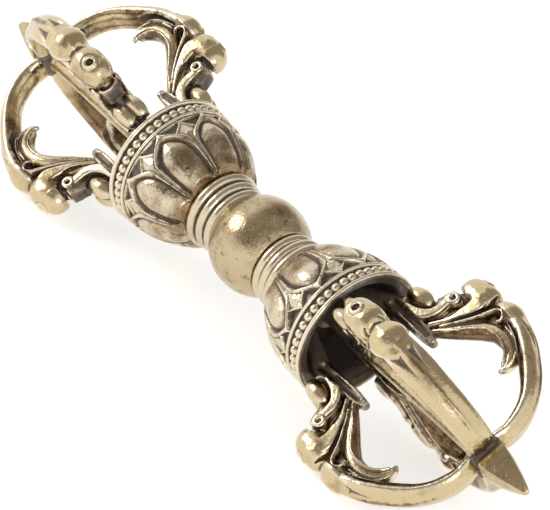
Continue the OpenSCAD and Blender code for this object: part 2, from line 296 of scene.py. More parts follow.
def surface(values):
    """Surface nets: one vertex in each cell that the surface crosses, and a quad for each crossed edge."""
    inside = values < 0
    cells = np.zeros([n - 1 for n in values.shape], np.int8)
    for i, j, k in CELL_CORNERS:
        cells += inside[i:i - 1 or None, j:j - 1 or None, k:k - 1 or None]
    crossed = (cells > 0) & (cells < len(CELL_CORNERS))
    index = np.full(cells.shape, -1)
    index[crossed] = np.arange(crossed.sum())
    places = np.argwhere(crossed)
    total = np.zeros(places.shape)
    hits = np.zeros((len(places), 1))
    for axis in range(3):
        run = np.eye(3, dtype=int)[axis]
        for corner in CELL_CORNERS:
            if corner[axis]:
                continue
            a = places + corner
            b = a + run
            va, vb = values[tuple(a.T)], values[tuple(b.T)]
            change = (va < 0) != (vb < 0)
            share = np.where(change, va / np.where(change, va - vb, 1), 0)
            total += np.where(change[:, None], a + share[:, None] * run, 0)
            hits += change[:, None]
    points = total / hits
    faces = []
    for axis in range(3):
        u, v = (axis + 1) % 3, (axis + 2) % 3
        first = [slice(None)] * 3
        second = [slice(None)] * 3
        first[axis], second[axis] = slice(None, -1), slice(1, None)
        change = inside[tuple(first)] != inside[tuple(second)]
        edge = np.argwhere(change)
        edge = edge[(edge[:, u] > 0) & (edge[:, v] > 0)
                    & (edge[:, u] < values.shape[u] - 1) & (edge[:, v] < values.shape[v] - 1)]
        start = inside[tuple(edge.T)]
        ring = []
        for du, dv in ((0, 0), (-1, 0), (-1, -1), (0, -1)):
            cell = edge.copy()
            cell[:, u] += du
            cell[:, v] += dv
            ring.append(index[tuple(cell.T)])
        quad = np.stack(ring, axis=1)
        faces.append(np.where(start[:, None], quad, quad[:, ::-1]))
    return points, np.concatenate(faces)


def rise_along(values, places, axis):
    """How much the field rises over one node along an axis."""
    half = 0.5 * np.eye(3)[axis]
    return sample(values, places + half) - sample(values, places - half)


def settle(values, points, rounds=3):
    """Moves the vertices onto the surface along the field's slope, by half a node at most each time."""
    for _ in range(rounds):
        slope = np.stack([rise_along(values, points, axis) for axis in range(3)], axis=1)
        steep = np.maximum((slope ** 2).sum(1), TINY)
        move = -(sample(values, points) / steep)[:, None] * slope
        points = points + np.clip(move, -0.5, 0.5)
    return points


def blurred(values, reach):
    """A soft blur over a number of nodes: three running means along each axis."""
    for axis in range(values.ndim):
        for _ in range(3):
            pad = [(0, 0)] * values.ndim
            pad[axis] = (reach + 1, reach)
            total = np.cumsum(np.pad(values, pad, mode="edge"), axis=axis, dtype=np.float64)
            width = 2 * reach + 1
            high = np.take(total, range(width, total.shape[axis]), axis=axis)
            low = np.take(total, range(total.shape[axis] - width), axis=axis)
            values = ((high - low) / width).astype(np.float32)
    return values


def sunk(radius, reach):
    """How far radii lie under their own blur."""
    return blurred(radius.astype(np.float32), reach) - radius


def recesses(values, points, cell, reaches):
    """How enclosed the surface is at each vertex: above 0 in a hollow, below 0 on an edge."""
    solid = np.clip(0.5 - values / cell, 0, 1).astype(np.float32)
    return [2 * sample(blurred(solid, max(int(reach / cell), 1)), points) - 1 for reach in reaches]


def make_mesh(name, points, faces, **facts):
    """A mesh object in the frame of the part from points in mm, with its per-vertex facts."""
    mesh = bpy.data.meshes.new(name)
    mesh.from_pydata((np.asarray(points) * MM).tolist(), [], [list(f) for f in faces])
    for fact, value in facts.items():
        attribute = mesh.attributes.new(fact, "FLOAT", "POINT")
        attribute.data.foreach_set("value", np.ascontiguousarray(value, np.float32))
    mesh.polygons.foreach_set("use_smooth", np.ones(len(mesh.polygons), bool))
    mesh.update()
    piece = bpy.data.objects.new(name, mesh)
    bpy.context.scene.collection.objects.link(piece)
    return piece


# The outer prong: rows of x, r, half depth and half width along each of its forms

PRONG_LOW = (12.4, 1.5, 0)
PRONG_HIGH = (44.6, 15.7, 2.9)
STEM = [[13.0, 3.7, 0.9, 0.9], [14.0, 3.75, 0.95, 0.95], [16.0, 4.5, 1.0, 1.0], [18.3, 5.4, 1.05, 1.05],
    [20.2, 6.2, 1.15, 1.05], [22.0, 7.35, 1.2, 1.0], [23.4, 8.8, 1.0, 1.1], [24.5, 10.2, 1.1, 1.25],
    [25.6, 11.6, 1.3, 1.3]]
TONGUE = [[18.6, 5.3, 0.7, 0.95], [21.5, 5.45, 0.8, 1.15], [23.5, 5.45, 0.8, 1.3], [25.2, 5.38, 0.74, 1.15],
    [26.4, 5.3, 0.56, 0.75]]
TONGUE_LINE = [[19.4, 5.42], [21.5, 5.45], [23.5, 5.42], [25.7, 5.36]]
WEB = [[21.3, 6.7, 1.1, 0.5], [22.7, 7.3, 1.35, 0.5], [23.8, 8.4, 1.25, 0.5], [24.4, 9.8, 0.9, 0.5]]
THROAT = ((22.75, 9.55), (0.5, 0.42, 1.6))
LOBE_AT = (21.5, 8.0)
LOBE_SIZE = (1.95, 1.24, 1.05)
LOBE_TURN = 8
LOBE_SIDE = 0.86
LOBE_MOAT = 0.36
HOOD = [[25.8, 12.6, 2.05, 2.0], [26.6, 12.68, 2.12, 2.08], [27.4, 12.72, 2.12, 2.1]]
MOUTH = [[21.6, 11.2, 0.75, 2.6], [25.0, 11.25, 0.7, 2.6]]
FLANGE = [[27.1, 13.0, 0.95, 1.95], [27.75, 12.0, 0.98, 1.98], [27.78, 11.0, 0.92, 1.92],
    [27.45, 10.0, 0.8, 1.82], [26.85, 9.0, 0.66, 1.7], [26.2, 8.0, 0.5, 1.52], [25.5, 7.05, 0.38, 1.35],
    [25.0, 6.4, 0.3, 1.25]]
FLANGE_EDGE = 0.35
CRESCENT = [[22.8, 11.68, 0.24, 1.6], [24.0, 11.75, 0.26, 1.6], [25.1, 11.62, 0.28, 1.6],
    [25.95, 11.1, 0.32, 1.6], [26.3, 10.3, 0.4, 1.6], [26.3, 9.4, 0.46, 1.6], [25.95, 8.5, 0.46, 1.6],
    [25.45, 7.6, 0.4, 1.5], [24.85, 6.75, 0.32, 1.4], [24.4, 6.2, 0.24, 1.3]]
CRESCENT_SIDE = 2.4
JAW = [[23.55, 9.35, 0.5, 0.85], [23.8, 9.9, 0.72, 1.15], [24.1, 10.5, 0.8, 1.25], [24.35, 11.0, 0.8, 1.3]]
SLIT = [[21.6, 11.62, 0.34, 2.6], [25.3, 11.62, 0.34, 2.6]]
CUT_EDGE = 0.1
MOUTH_WEB = [[24.7, 11.3, 0.6, 0.55], [26.0, 11.9, 0.7, 0.6]]
STRIP = [[21.4, 5.95, 0.6, 0.5], [22.6, 6.1, 0.7, 0.55], [23.6, 6.65, 0.64, 0.55], [24.3, 7.4, 0.56, 0.52],
    [24.6, 8.2, 0.54, 0.5], [24.65, 9.0, 0.52, 0.5], [24.65, 9.7, 0.5, 0.5], [24.7, 10.2, 0.45, 0.45]]
STRIP_SIDE = 1.3
STRIP_EDGE = 0.3
# The curl: centre; radius, thickness and side; radius and ends of its seat
CURL = (25.0, 10.42)
CURL_RING = (0.54, 0.31, 1.56)
CURL_SEAT = (0.8, 1.5, 3.0)
LEAF = [[25.7, 6.15, 0.42, 0.8], [27.0, 7.3, 0.6, 1.0], [28.5, 8.75, 0.85, 1.2], [30.0, 10.05, 0.98, 1.35],
    [31.5, 10.9, 1.0, 1.38], [33.0, 11.05, 0.98, 1.3], [34.2, 10.8, 0.86, 1.14], [35.1, 10.25, 0.74, 0.95],
    [35.65, 9.5, 0.62, 0.78], [35.88, 8.8, 0.5, 0.62], [35.82, 8.3, 0.4, 0.5], [35.7, 8.05, 0.3, 0.38]]
LEAF_BAND = [[26.2, 7.0, 0.26, 1.2], [27.1, 8.1, 0.32, 1.4], [28.1, 9.4, 0.36, 1.58],
    [29.0, 10.7, 0.38, 1.72], [29.6, 11.8, 0.36, 1.84], [30.1, 12.6, 0.34, 1.94], [30.8, 12.95, 0.32, 2.0],
    [31.4, 12.65, 0.3, 1.96], [31.55, 12.1, 0.26, 1.86], [31.25, 11.7, 0.2, 1.76]]
LEAF_LOWER_RIM = [[26.6, 6.75, 0.24, 0.9], [28.0, 7.9, 0.27, 1.2], [29.3, 9.2, 0.3, 1.42],
    [30.6, 10.2, 0.32, 1.55], [32.0, 10.6, 0.32, 1.55], [33.4, 10.5, 0.3, 1.42], [34.4, 10.05, 0.28, 1.2],
    [35.0, 9.4, 0.25, 0.95], [35.35, 8.7, 0.22, 0.65]]
LEAF_UPPER_RIM = [[32.4, 12.05, 0.22, 1.42], [33.6, 11.85, 0.24, 1.34], [34.7, 11.45, 0.25, 1.2],
    [35.6, 10.75, 0.25, 1.02], [36.1, 9.9, 0.25, 0.86], [36.22, 9.1, 0.24, 0.7], [36.1, 8.4, 0.22, 0.5]]
LEAF_PIT = [[30.7, 11.95, 0.26, 0.95], [30.95, 12.2, 0.26, 0.95]]
LEAF_GAP = [[28.5, 14.1, 0.1, 1.5], [28.85, 13.3, 0.2, 1.5], [29.1, 12.4, 0.28, 1.5],
    [28.9, 11.4, 0.27, 1.5], [28.35, 10.3, 0.24, 1.4], [27.6, 9.1, 0.2, 1.4], [26.9, 8.0, 0.18, 1.3],
    [26.3, 7.1, 0.14, 1.2]]
HORN_GAP = [[32.3, 12.6, 0.1, 1.5], [33.2, 12.42, 0.13, 1.5], [34.6, 11.95, 0.16, 1.5],
    [35.8, 11.2, 0.24, 1.55], [36.6, 10.3, 0.3, 1.6], [37.0, 9.5, 0.28, 1.5]]
GAP_SIDE = 2.2
EYE_X = 25.9
EYE_R = 14.72
EYE_HOLE = 0.46
EYE_DEPTH = 0.7
EYE_REACH = 1.6
# Radius, width and height of the raised ring and of the groove round the eye
EYE_RELIEF = ((0.7, 0.17, 0.16), (1.02, 0.12, -0.09))
BULB = ((31.3, 12.62), (2.5, 2.44, 2.44))
BULB_FLOOR = 13.1
BULB_BLEND = 0.3
# Outer and inner edge of the horn in pairs, then its half width
HORN = [[30.2, 14.9, 30.4, 12.15, 1.9], [31.6, 14.9, 31.6, 12.2, 1.95], [33.2, 14.5, 32.8, 12.0, 2.05],
    [34.8, 14.0, 34.0, 11.55, 2.12], [36.4, 13.25, 35.4, 10.85, 2.16], [38.0, 12.25, 36.8, 9.95, 2.08],
    [39.8, 10.95, 38.2, 8.9, 2.02], [41.3, 9.4, 39.6, 7.8, 1.98], [42.5, 7.6, 40.7, 6.4, 1.95],
    [43.3, 5.7, 41.3, 4.85, 1.92], [43.55, 3.85, 41.6, 3.45, 1.9], [43.3, 2.0, 41.5, 2.0, 1.88]]
HORN_STEPS = 10
HORN_BACK = 2.0
HORN_EDGE = 0.06
ROOF_POWER = (1.12, 1.6)
ROOF_POWER_X = (34.2, 31.5)
ROOF_BLEND = 0.2
KEEL_WIDTH = 0.965
KEEL_DEPTH = 0.92
KEEL_DROP = 0.08
KEEL_BLEND = 0.14
# Corners of the pocket in the roof, as x and t
POCKET = ((33.4, 1.75), (34.2, 0.35), (36.9, 0.75))
POCKET_DEPTH = 0.42
POCKET_FADE = (-0.1, 0.5)
POCKET_LEVEL = (0.2, 0.5)
# Grooves on the flanks: width, depth and the t from which they are cut
TONGUE_GROOVE = (0.36, 0.36, 0.6)
KEEL_GROOVE = (0.32, 0.06, 0.6)
KEEL_GROOVE_ROWS = slice(3, -1)
KEEL_GROOVE_UP = 0.3
# Widths of the fillets where forms meet
CRISP = 0.05
NEAT = 0.06
SOFT = 0.08
EASY = 0.1
ROUND = 0.12
WIDE = 0.2


def pocket(x, t):
    """How far a place is inside the three-cornered pocket, from 0 to 1."""
    gaps = []
    for i in range(3):
        a, b, c = np.roll(POCKET, -i, axis=0)
        n = np.array([a[1] - b[1], b[0] - a[0]])
        n = n / np.linalg.norm(n)
        n = n if (c - a) @ n > 0 else -n
        gaps.append((x - a[0]) * n[0] + (t - a[1]) * n[1])
    return window(POCKET_FADE, np.minimum.reduce(gaps))


def horn():
    """The claw: a soft ridged roof with rolled side edges, over a slightly narrower keel."""
    pairs = np.array(HORN)
    outer, inner = pairs[:, 0:2], pairs[:, 2:4]
    half = np.linalg.norm(outer - inner, axis=1) / 2
    curve = spline(np.column_stack([(outer + inner) / 2, half, pairs[:, 4]]), HORN_STEPS)

    def distance(x, r, t):
        d, (h, w) = along(curve, *np.broadcast_arrays(x[:, :, 0], r[:, :, 0]))
        d, h, w = d[:, :, None], h[:, :, None], w[:, :, None]
        level = d / h
        up = np.maximum(level, 0)
        tip, root = ROOF_POWER
        power = tip + (root - tip) * window(ROOF_POWER_X, x)
        roof = t / w + up ** power - 1
        slope = np.sqrt(1 / w ** 2 + (power * up ** (power - 1) / h) ** 2)
        roof = -smooth_min(-roof / slope, -(HORN_EDGE - level) * h, ROOF_BLEND)
        keel = ellipse(d + KEEL_DROP * h, t, KEEL_DEPTH * h, KEEL_WIDTH * w)
        claw = smooth_min(roof, keel, KEEL_BLEND)
        return claw + POCKET_DEPTH * pocket(x, t) * window(POCKET_LEVEL, level)

    low = (pairs[:, 0].min() - HORN_BACK,) + PRONG_LOW[1:]
    return low, PRONG_HIGH, distance


def bulb():
    """The ball at the root of the claw, flat underneath."""
    low, high, whole = ball(*BULB)

    def distance(x, r, t):
        return -smooth_min(-whole(x, r, t), r - BULB_FLOOR, BULB_BLEND)

    return low, high, distance


def lobe(extra=0.0):
    return ball(LOBE_AT, [size + extra for size in LOBE_SIZE], LOBE_TURN, LOBE_SIDE)


def drill_eye(f):
    """The eye on the hood: a raised ring, a groove round it and a hole."""
    cut, x, r, t = f.block((EYE_X - EYE_REACH, EYE_R - EYE_REACH, 0),
                           (EYE_X + EYE_REACH, EYE_R + MARGIN, EYE_REACH))
    around = np.sqrt((x - EYE_X) ** 2 + t ** 2)
    for radius, width, height in EYE_RELIEF:
        f.value[cut] -= height * bell(around, radius, width)
    well = np.maximum(around - EYE_HOLE, EYE_R - EYE_DEPTH - r)
    f.value[cut] = -smooth_min(-f.value[cut], well, SOFT)


def prong_field():
    """Half an outer prong, form by form."""
    f = Field(PRONG_LOW, PRONG_HIGH, PRONG_CELL)
    f.add(tube(STEM), EASY)
    f.add(tube(HOOD), WIDE)
    f.carve(tube(MOUTH, square=CUT_EDGE), NEAT)
    f.add(tube(FLANGE, square=FLANGE_EDGE), ROUND)
    f.carve(tube(CRESCENT, side=CRESCENT_SIDE), NEAT)
    f.add(tube(JAW), ROUND)
    f.carve(tube(SLIT, square=CUT_EDGE), NEAT)
    f.add(tube(MOUTH_WEB), EASY)
    f.carve(ball(*THROAT), EASY)
    f.carve(lobe(LOBE_MOAT), SOFT)
    f.add(tube(WEB), EASY)
    f.add(lobe(), CRISP)
    f.add(tube(TONGUE, square=STRIP_EDGE), NEAT)
    f.add(tube(STRIP, side=STRIP_SIDE, square=STRIP_EDGE), CRISP)
    f.carve(pin(CURL, *CURL_SEAT), NEAT)
    f.add(hoop(CURL, *CURL_RING), CRISP)
    f.add(tube(LEAF), EASY)
    f.add(tube(LEAF_LOWER_RIM), NEAT)
    f.add(tube(LEAF_UPPER_RIM), NEAT)
    f.add(horn(), CRISP)
    f.add(bulb(), EASY)
    f.carve(tube(HORN_GAP, side=GAP_SIDE), NEAT)
    f.carve(tube(LEAF_GAP, side=GAP_SIDE), NEAT)
    f.carve(tube(LEAF_PIT, side=GAP_SIDE), EASY)
    f.add(tube(LEAF_BAND), CRISP)
    f.engrave(TONGUE_LINE, *TONGUE_GROOVE)
    keel = np.array(HORN)[KEEL_GROOVE_ROWS]
    f.engrave(keel[:, 2:4] + KEEL_GROOVE_UP * (keel[:, 0:2] - keel[:, 2:4]), *KEEL_GROOVE)
    drill_eye(f)
    return f


# Painted shade, stains and wear on a prong: edges of windows on x, r, t, the distance from lobe and throat, how
# far a vertex faces along x (face) and outward (lean), and how deep it lies (fine, broad)
RECESS_REACHES = (0.15, 0.45, 1.0)
# Painted shade in the prong's hollows: the stem inside the cup, the gaps round the lobe, the throat and round
# the jaw
HOLLOW_SHADES = {
    "stem in the cup": (1.0, {"x": (20.5, 17.5)}),
    "gap round the lobe": (1.0, {"lobe": (0.06, 0.2, 0.5, 0.75), "x": (21.3, 22.0), "r": (6.8, 7.4)}),
    "web behind the lobe": (1.0, {
        "lobe": (0.02, 0.1), "x": (21.3, 22.0, 24.4, 24.8), "r": (6.8, 7.4, 9.2, 9.6), "t": (0.8, 0.6)}),
    "throat": (0.9, {"throat": (0.12, 0.0)}),
    "foot of the jaw": (0.8, {
        "lobe": (0.1, 0.25), "x": (22.2, 22.6, 24.0, 24.4), "r": (8.6, 9.0, 9.5, 10.5), "t": (1.5, 1.35)}),
    "front of the jaw": (1.5, {
        "face": (-0.2, -0.6), "x": (22.2, 22.5, 24.2, 24.6), "r": (9.0, 9.3, 10.5, 11.3), "t": (1.2, 0.55)}),
}
# Painted shade in the pocket of the roof
POCKET_SHADE = 0.17
POCKET_PLACE = {"lean": (0.0, 0.4)}
# Painted shade on the flat faces of the tongue, low under the prong; its edges stay bright
TONGUE_SHADE = 0.8
TONGUE_SHADE_R = 5.42
TONGUE_SHADE_W = 0.42
TONGUE_PLACE = {"x": (18.6, 19.6, 27.0, 27.6), "r": (6.35, 6.0), "fine": (-0.4, -0.15)}
# Browner on faces turned in towards the axis; painted shade deep in broad hollows
UNDERSIDE = {"lean": (0.2, -0.7), "r": (14.5, 12.5)}
DEEP_SHADE_PLACE = {"broad": (-0.1, 0.4)}
CLEAN_SHARE = 0.6
CLEAN_HOOK = {"x": (34.0, 35.8), "r": (10.0, 9.0)}
# Painted shade, brown, on the jaw's front faces, which face the hub
JAW_FRONT_SHADE = 0.9
JAW_FRONT = {"face": (-0.3, -0.7), "x": (22.2, 22.6, 24.4, 24.8), "r": (8.8, 9.2, 11.2, 11.5)}
RIDGE_STAIN = 0.75
RIDGE_RECESS = 0.35
RIDGE_W = 0.3
RIDGE_PLACE = {"lean": (0.1, 0.5), "x": (34.0, 36.5)}
RIDGE_END = {"x": (42.0, 40.5)}
# Places where the patina and painted shade of the recesses are weakened and the worn edges show more
BRIGHT_RECESS = 0.1
BRIGHT_SHADE = 0.12
BRIGHT_PLACES = ({"x": (28.6, 29.2, 33.5, 34.5), "r": (10.8, 11.4, 13.5, 13.9)},
                 {"x": (34.4, 35.2, 36.6, 37.0), "r": (10.0, 9.4)})


def prong_facts(values, nodes, points, cell):
    """The facts of each vertex: how deep it lies at two scales, brown stain with painted shade, and painted
    shade in hollows.
    """
    x, r, t = points[:, 0], points[:, 1], np.abs(points[:, 2])
    fine, wide, broad = recesses(values, nodes, cell, RECESS_REACHES)
    face, lean = (np.clip(rise_along(values, nodes, axis), -cell, cell) / cell for axis in (0, 1))
    at = {"x": x, "r": r, "t": t, "lobe": lobe()[2](x, r, t), "throat": ball(*THROAT)[2](x, r, t),
          "face": face, "lean": lean, "fine": fine, "broad": broad}
    # Painted shade of the hollows, the roof's pocket and the tongue
    hollow_shades = [strength * masked(at, limits) for strength, limits in HOLLOW_SHADES.values()]
    # painted shade in the roof's pocket
    hollow_shades.append(POCKET_SHADE * pocket(x, t) * masked(at, POCKET_PLACE))
    # painted shade on the tongue's flat faces
    hollow_shades.append(TONGUE_SHADE * bell(r, TONGUE_SHADE_R, TONGUE_SHADE_W) * masked(at, TONGUE_PLACE))
    ridge = bell(t, 0, RIDGE_W) * masked(at, RIDGE_PLACE)
    bright = np.max([masked(at, place) for place in BRIGHT_PLACES], axis=0)
    # Brown on inward faces, painted shade in broad hollows and on the jaw's front, and a brown line along the
    # ridge
    under = (masked(at, UNDERSIDE) + masked(at, DEEP_SHADE_PLACE)) * (1 - CLEAN_SHARE * masked(at, CLEAN_HOOK))
    stains = [under, JAW_FRONT_SHADE * masked(at, JAW_FRONT), RIDGE_STAIN * ridge * masked(at, RIDGE_END)]
    return {"recess": fine - BRIGHT_RECESS * bright + RIDGE_RECESS * ridge,
            "shade": wide - BRIGHT_SHADE * bright,
            "stain_and_shade": np.clip(np.max(stains, axis=0), 0, 1),
            "hollow": np.max(hollow_shades, axis=0)}


def prong_shape():
    """Points, faces and facts of one prong."""
    f = prong_field()
    values = f.full()
    nodes, faces = surface(values)
    nodes = settle(values, nodes)
    points = f.corner() + nodes * f.cell
    return points, faces, prong_facts(values, nodes, points, f.cell)


# Turned pieces and cups

def rows_to_mesh(rows, poles=False):
    """Points and faces from rings of x and radius, with or without a point on the axis at each end."""
    count, sides = rows.shape[:2]
    angle = 2 * math.pi * np.arange(sides) / sides
    x, radius = rows[:, :, 0], rows[:, :, 1]
    points = np.stack([x, radius * np.cos(angle), radius * np.sin(angle)], axis=2).reshape(-1, 3)
    ring = np.arange(sides)
    follow = (ring + 1) % sides
    faces = []
    for i in range(count - 1 if poles else count):
        a, b = i * sides, (i + 1) % count * sides
        faces += np.stack([a + ring, b + ring, b + follow, a + follow], axis=1).tolist()
    if poles:
        ends = np.array([[rows[0, :, 0].mean(), 0, 0], [rows[-1, :, 0].mean(), 0, 0]])
        first = len(points)
        last = (count - 1) * sides
        points = np.vstack([points, ends])
        faces += [[first, int(i), int(j)] for i, j in zip(ring, follow)]
        faces += [[first + 1, int(last + j), int(last + i)] for i, j in zip(ring, follow)]
    return points, faces


def turned_rows(outline, sides):
    return np.repeat(np.asarray(outline, float)[:, None, :], sides, axis=1)


OUTLINE_STEP = 0.02
TURN_REACH = 0.45
TURN_SHADE = 1.2


def turned_facts(outline, recess, stain_and_shade=0.0):
    """Facts of a turned piece. Its shade is how far the outline lies under its own blur."""
    run = np.append(0, np.cumsum(np.linalg.norm(np.diff(outline, axis=0), axis=1)))
    even = np.arange(0, run[-1], OUTLINE_STEP)
    depth = sunk(np.interp(even, run, outline[:, 1]), int(TURN_REACH / OUTLINE_STEP))
    rows = {"recess": recess, "shade": TURN_SHADE * np.interp(run, even, depth), "stain_and_shade": stain_and_shade, "hollow": 0.0}
    return {key: np.repeat(np.broadcast_to(value, len(outline)), TURN_SIDES) for key, value in rows.items()}


def flipped(points):
    """The left end is the right end turned half a turn about the upright axis."""
    return points * [-1, -1, 1]


def rolled(points, degrees):
    """Turns points about the long axis."""
    c, s = math.cos(math.radians(degrees)), math.sin(math.radians(degrees))
    y, z = points[:, 1], points[:, 2]
    return np.column_stack([points[:, 0], y * c - z * s, y * s + z * c])


# Petals of the cup
CUP_SWELL = 1.5
CUP_ROUND = 0.7
PETAL_SHOULDER_X = 13.0
PETAL_TIP_X = 16.5
PETAL_GAP = 0.012
BACK_SHOULDER_X = 12.8
BACK_TIP_X = 16.4
PANEL_SHOULDER_X = 11.8
PANEL_TIP_X = 14.9
PANEL_HEAD = 1.6
PANEL_BORDER = (0.26, 0.5)
PANEL_BORDER_X = (9.0, 12.5)
PANEL_GROOVE_W = 0.12
PANEL_GROOVE_DEPTH = 0.1
PANEL_REACH = 1.9
PANEL_HEIGHT = 0.6
PANEL_SWELL = 2.2
ROLL_LOW = 0.04
ROLL_HEIGHT = 0.4
ROLL_LEAST_W = 0.05
ROLL_LEAN = 0.8
ROLL_ROUND = 0.7
REAR_EDGE_W = 0.18
REAR_EDGE_HEIGHT = 0.14
REAR_SINK = 0.16
REAR_SINK_AT = (0.2, 0.34)
REAR_KEEL_AT = 0.3
REAR_KEEL_W = 1.1
REAR_KEEL_HEIGHT = 0.3
GROUND_HEIGHT = -0.42
# The relief starts above the base, and ends in a plain band under the rim
BASE_FADE = 0.35
BAND_FADE = (0.14, 0.04)
BOWL_TOP = 0.4
BOWL_FOOT = 0.05
# Wear, stains, patina and painted shade on the cup: painted shade sits low between the petals and inside the
# bowl
CUP_FINE = (3.0, 2)
CUP_WIDE = (1.0, 8)
CUP_CLEAR = (0.1, 0.8)
CUP_DEEP_SHADE = (-0.1, -0.35)
CUP_INSIDE_SHADE = 1.5
BASE_STAIN = 0.55
BASE_STAIN_X = (10.2, 8.5)
PANEL_STAIN = 0.7
PANEL_STAIN_W = 0.5
BELLY_STAIN = 0.4
BELLY_X = 11.0
BELLY_W = 1.5
BELLY_IN = (0.2, 1.0)


def cup_radius(x):
    share = np.clip((x - CUP_X) / CUP_H, 0, 1)
    return CUP_BASE_R + (CUP_TOP_R - CUP_BASE_R) * (1 - (1 - share) ** CUP_SWELL) ** CUP_ROUND


def petal_edge(x, angle, half, shoulder, tip):
    """Distance in mm inside the edge of a petal that draws in to a fine point, below 0 outside it."""
    share = 1 - step(shoulder, tip, x)
    s = np.clip((x - shoulder) / (tip - shoulder), 0, 1)
    lean = half * 6 * s * (1 - s) / (tip - shoulder) * cup_radius(x)
    return (half * share - np.abs(angle)) * cup_radius(x) / np.sqrt(1 + lean ** 2)


def panel_edge(x, angle, half):
    """Distance in mm inside the round-headed panel of a petal, below 0 outside it."""
    base, top = PANEL_BORDER
    border = base + (top - base) * window(PANEL_BORDER_X, x)
    across = half * cup_radius(x) - border
    up = np.maximum(x - PANEL_SHOULDER_X, 0) / (PANEL_TIP_X - PANEL_SHOULDER_X)
    level = (up ** PANEL_HEAD + np.abs(angle * cup_radius(x) / across) ** PANEL_HEAD) ** (1 / PANEL_HEAD)
    return (1 - level) * across


def roll(outer, inner):
    """A rolled border between the outline of a petal and the outline of its panel."""
    share = np.clip(outer / np.maximum(outer + inner, ROLL_LEAST_W), 0, 1)
    return ROLL_LOW + ROLL_HEIGHT * np.sin(math.pi * share ** ROLL_LEAN) ** ROLL_ROUND


def pillow(inside):
    """A panel that swells from a fine groove round its edge."""
    share = np.clip((inside - PANEL_GROOVE_W) / PANEL_REACH, 0, 1)
    swell = PANEL_HEIGHT * (1 - (1 - share) ** PANEL_SWELL)
    return np.where(inside < PANEL_GROOVE_W, -PANEL_GROOVE_DEPTH, swell)


def rear_petal(inside):
    """A petal behind the others: a rolled edge, a sunk face and a keel."""
    edge = REAR_EDGE_HEIGHT * np.sqrt(1 - (1 - np.clip(inside / REAR_EDGE_W, 0, 1)) ** 2)
    keel = REAR_KEEL_HEIGHT * np.clip((inside - REAR_KEEL_AT) / REAR_KEEL_W, 0, 1)
    return edge - REAR_SINK * window(REAR_SINK_AT, inside) + keel


def cup_rows():
    """Rings of the cup and their facts: base, petal body, seat, mouth and the bowl inside."""
    angle = 2 * math.pi * np.arange(CUP_SIDES) / CUP_SIDES - math.pi / 4
    sector = 2 * math.pi / PETALS
    front = ((angle + sector / 2) % sector - sector / 2)[None, :]
    back = (angle % sector - sector / 2)[None, :]
    x = np.linspace(CUP_X, RIM_X, CUP_ROWS)[:, None]
    front_in = petal_edge(x, front, sector / 2 - PETAL_GAP, PETAL_SHOULDER_X, PETAL_TIP_X)
    panel_in = panel_edge(x, front, sector / 2 - PETAL_GAP)
    back_in = petal_edge(x, back, sector / 2, BACK_SHOULDER_X, BACK_TIP_X)
    main = np.where(panel_in > 0, pillow(panel_in), roll(front_in, -panel_in))
    ground = np.where(back_in > 0, rear_petal(back_in), GROUND_HEIGHT)
    height = np.where(front_in > 0, main, ground) * step(CUP_X, CUP_X + BASE_FADE, x)
    height = height * (1 - step(RIM_X - BAND_FADE[0], RIM_X - BAND_FADE[1], x))
    radius = cup_radius(x) + height
    bowl = [[RIM_X, RIM_SEAT_R], [MOUTH_X, RIM_SEAT_R], [MOUTH_X, MOUTH_R], [RIM_X, MOUTH_R]]
    bowl += [[v, cup_radius(v) - CUP_WALL]
             for v in np.linspace(RIM_X - BOWL_TOP, CUP_FLOOR_X + BOWL_FOOT, BOWL_ROWS)]
    bowl += [[CUP_FLOOR_X, CUP_FLOOR_R], [CUP_FLOOR_X, BORE_R]]
    rows = np.concatenate([turned_rows([[CUP_X, BORE_R]], CUP_SIDES),
                           np.stack([x + 0 * radius, radius], axis=2), turned_rows(bowl, CUP_SIDES)])

    def all_rows(petals, inside=0.0):
        """A fact for all rings, from that of the petals and one value for the bowl."""
        inner = np.full((len(bowl), CUP_SIDES), inside)
        return np.concatenate([np.zeros((1, CUP_SIDES)), petals, inner]).ravel()

    clear = window(CUP_CLEAR, x - CUP_X)
    fine, wide = (gain * sunk(radius, reach) * clear for gain, reach in (CUP_FINE, CUP_WIDE))
    stain = BASE_STAIN * window(BASE_STAIN_X, x) + PANEL_STAIN * bell(panel_in, 0, PANEL_STAIN_W)
    stain = stain + BELLY_STAIN * bell(x, BELLY_X, BELLY_W) * window(BELLY_IN, panel_in)
    # The hollow fact paints shade low between the petals and, deeper, inside the bowl
    facts = {"recess": all_rows(fine), "shade": all_rows(wide), "stain_and_shade": all_rows(np.clip(stain, 0, 1)),
             "hollow": all_rows(window(CUP_DEEP_SHADE, height), CUP_INSIDE_SHADE)}
    return rows, facts


RIM_LINE = [[16.2, 7.54], [16.2, 8.3], [16.27, 8.42], [16.42, 8.47], [16.56, 8.4], [16.62, 8.2],
    [16.66, 8.02]]
RIM_LIP = [[18.16, 7.98], [18.2, 8.3], [18.26, 8.48], [18.36, 8.58], [18.48, 8.62], [18.6, 8.6],
    [18.72, 8.5], [18.82, 8.34], [18.86, 8.2], [18.8, 8.05], [18.7, 7.9], [18.5, 7.4], [18.4, 7.0],
    [18.34, 6.94], [18.34, 7.54]]
BED_X = (16.7, 18.16)
BED_R = 7.93
BEAD_X = 17.43
BEAD_CENTRE_R = 7.98
BEAD_R = 0.62
BEAD_FOOT_R = 7.95
BEAD_RISE = 0.98
# The lip ends in an edge and a bevel down into the mouth of the cup, both with painted shade; their recess is
# taken at a level radius
BEVEL_ROWS = 5
EDGE_SHADE = 0.4
BEVEL_SHADE = 1.6
LEVEL_R = 8.4
RIM_FINE = (2.4, 2)
RIM_WIDE = (1.8, 5)


